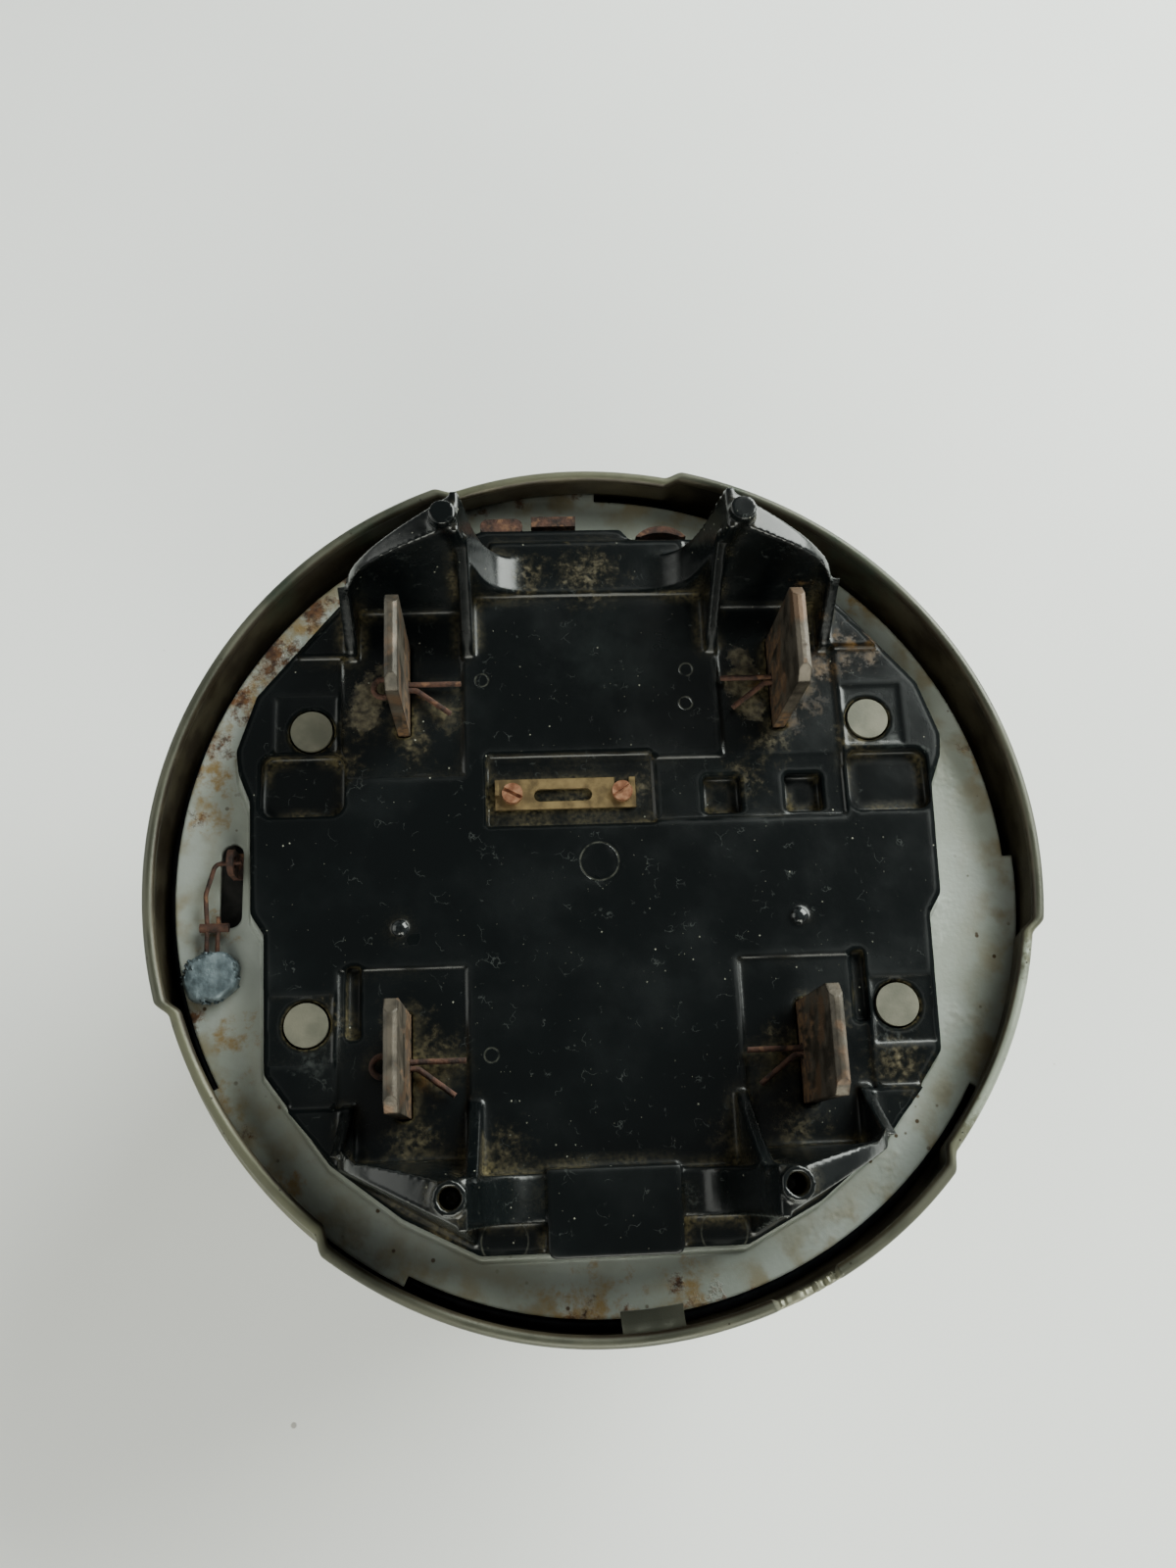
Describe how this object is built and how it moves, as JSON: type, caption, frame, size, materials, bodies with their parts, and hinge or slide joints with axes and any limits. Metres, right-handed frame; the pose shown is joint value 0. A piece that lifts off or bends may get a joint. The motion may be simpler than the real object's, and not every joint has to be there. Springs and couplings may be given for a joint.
{
  "type": "socket electricity meter",
  "caption": "Plug-in induction electricity meter: glass cover with a metal rim, moulded terminal block with flat blades, spinning disc and a geared dial register.",
  "frame": {"origin": "centre of the flat glass front, which is the face it lies on", "axes": "+Z out of the back along the blades, +Y up when the meter hangs in its socket, +X to the right seen from the back"},
  "size_m": [0.1762, 0.1762, 0.1554],
  "materials": {
    "glass": "clear pressed glass",
    "rim_metal": "tarnished olive drab",
    "pan_paint": "worn grey paint with rust",
    "phenolic": "black moulded phenolic",
    "blade_metal": "tinned copper, tarnished",
    "rusty_steel": "rusted steel",
    "rivet_metal": "matte grey",
    "link_brass": "dull brass",
    "screw_brass": "coppery brass",
    "lead": "oxidised lead",
    "gasket_rubber": "black rubber",
    "spring_steel": "dark spring steel",
    "cast_frame": "as-cast aluminium",
    "zinc_steel": "zinc plated steel",
    "core_steel": "stacked silicon steel",
    "coil_tape": "varnished cloth tape",
    "copper": "bare copper",
    "wire_sleeve": "red insulation",
    "bearing_metal": "turned brass",
    "magnet": "cast magnet alloy",
    "disc_aluminium": "rolled aluminium",
    "shaft_steel": "ground steel",
    "register_brass": "stamped brass",
    "dial_enamel": "white enamel",
    "pointer_paint": "black paint",
    "nameplate_metal": "satin aluminium"
  },
  "bodies": {
    "base": {"base_pan": "pan_paint", "terminal_block": "phenolic", "line_blade_left": "blade_metal", "line_blade_right": "blade_metal", "load_blade_left": "blade_metal", "load_blade_right": "blade_metal", "cotter_pins": "rusty_steel", "base_rivets": "rivet_metal", "link_screws": "screw_brass", "edge_clips": "rusty_steel", "seal_hasp": "rusty_steel", "seal_wire": "rusty_steel", "lead_seal": "lead", "meter_frame": "cast_frame", "frame_screws": "zinc_steel", "voltage_core": "core_steel", "current_core": "core_steel", "core_screws": "zinc_steel", "voltage_coil": "coil_tape", "current_coil_left": "copper", "current_coil_right": "copper", "voltage_leads": "wire_sleeve", "upper_bearing": "bearing_metal", "lower_bearing": "bearing_metal", "brake_magnet_left": "magnet", "brake_magnet_right": "magnet", "register_front_plate": "register_brass", "register_back_plate": "register_brass", "register_rear_plate": "register_brass", "register_pillars": "register_brass", "register_screws": "zinc_steel", "dial_plate": "dial_enamel", "nameplate": "nameplate_metal", "nameplate_screws": "zinc_steel"},
    "cover": {"glass_cover": "glass", "glass_spring_ring": "spring_steel", "cover_gasket": "gasket_rubber", "cover_ring": "rim_metal"},
    "rotor": {"rotor_shaft": "shaft_steel", "rotor_disc": "disc_aluminium"},
    "worm_wheel": {"worm_wheel": "register_brass"},
    "transfer_arbor": {"transfer_arbor": "register_brass"},
    "units_pointer": {"pointer_arbor_1": "register_brass", "pointer_1": "pointer_paint"},
    "tens_pointer": {"pointer_arbor_2": "register_brass", "pointer_2": "pointer_paint"},
    "hundreds_pointer": {"pointer_arbor_3": "register_brass", "pointer_3": "pointer_paint"},
    "thousands_pointer": {"pointer_arbor_4": "register_brass", "pointer_4": "pointer_paint"},
    "test_link": {"test_link": "link_brass"},
    "full_load_screw": {"full_load_screw": "zinc_steel"},
    "light_load_screw": {"light_load_screw": "zinc_steel"}
  },
  "joints": [
    {"name": "cover_twist", "type": "hinge", "parent": "base", "child": "cover", "pos_m": [0, 0, 0.115], "axis": [0, 0, 1], "range_deg": [-24, 0]},
    {"name": "rotor_spin", "type": "hinge", "parent": "base", "child": "rotor", "pos_m": [0, 0, 0.052], "axis": [0, 1, 0], "continuous": true},
    {"name": "worm_wheel_spin", "type": "hinge", "parent": "base", "child": "worm_wheel", "pos_m": [-0.01745, 0.022, 0.045], "axis": [0, 0, 1], "continuous": true},
    {"name": "transfer_spin", "type": "hinge", "parent": "base", "child": "transfer_arbor", "pos_m": [-0.0205, 0.03057, 0.04], "axis": [0, 0, 1], "continuous": true},
    {"name": "units_pointer_spin", "type": "hinge", "parent": "base", "child": "units_pointer", "pos_m": [-0.0285, 0.028, 0.025], "axis": [0, 0, 1], "continuous": true},
    {"name": "tens_pointer_spin", "type": "hinge", "parent": "base", "child": "tens_pointer", "pos_m": [-0.0095, 0.028, 0.025], "axis": [0, 0, 1], "continuous": true},
    {"name": "hundreds_pointer_spin", "type": "hinge", "parent": "base", "child": "hundreds_pointer", "pos_m": [0.0095, 0.028, 0.025], "axis": [0, 0, 1], "continuous": true},
    {"name": "thousands_pointer_spin", "type": "hinge", "parent": "base", "child": "thousands_pointer", "pos_m": [0.0285, 0.028, 0.025], "axis": [0, 0, 1], "continuous": true},
    {"name": "test_link_swing", "type": "hinge", "parent": "base", "child": "test_link", "pos_m": [-0.0166, 0.0149, 0.123], "axis": [0, 0, 1], "range_deg": [-7.5, 0]},
    {"name": "full_load_turn", "type": "hinge", "parent": "base", "child": "full_load_screw", "pos_m": [0.043, -0.017, 0.031], "axis": [0, 0, 1], "range_deg": [-720, 720]},
    {"name": "light_load_turn", "type": "hinge", "parent": "base", "child": "light_load_screw", "pos_m": [-0.043, -0.017, 0.031], "axis": [0, 0, 1], "range_deg": [-720, 720]}
  ],
  "couplings": [
    {"joint": "worm_wheel_spin", "follows": "rotor_spin", "ratio": 0.01},
    {"joint": "transfer_spin", "follows": "rotor_spin", "ratio": -0.0024},
    {"joint": "units_pointer_spin", "follows": "rotor_spin", "ratio": 0.00072},
    {"joint": "tens_pointer_spin", "follows": "rotor_spin", "ratio": -0.000072},
    {"joint": "hundreds_pointer_spin", "follows": "rotor_spin", "ratio": 0.0000072},
    {"joint": "thousands_pointer_spin", "follows": "rotor_spin", "ratio": -0.00000072}
  ]
}
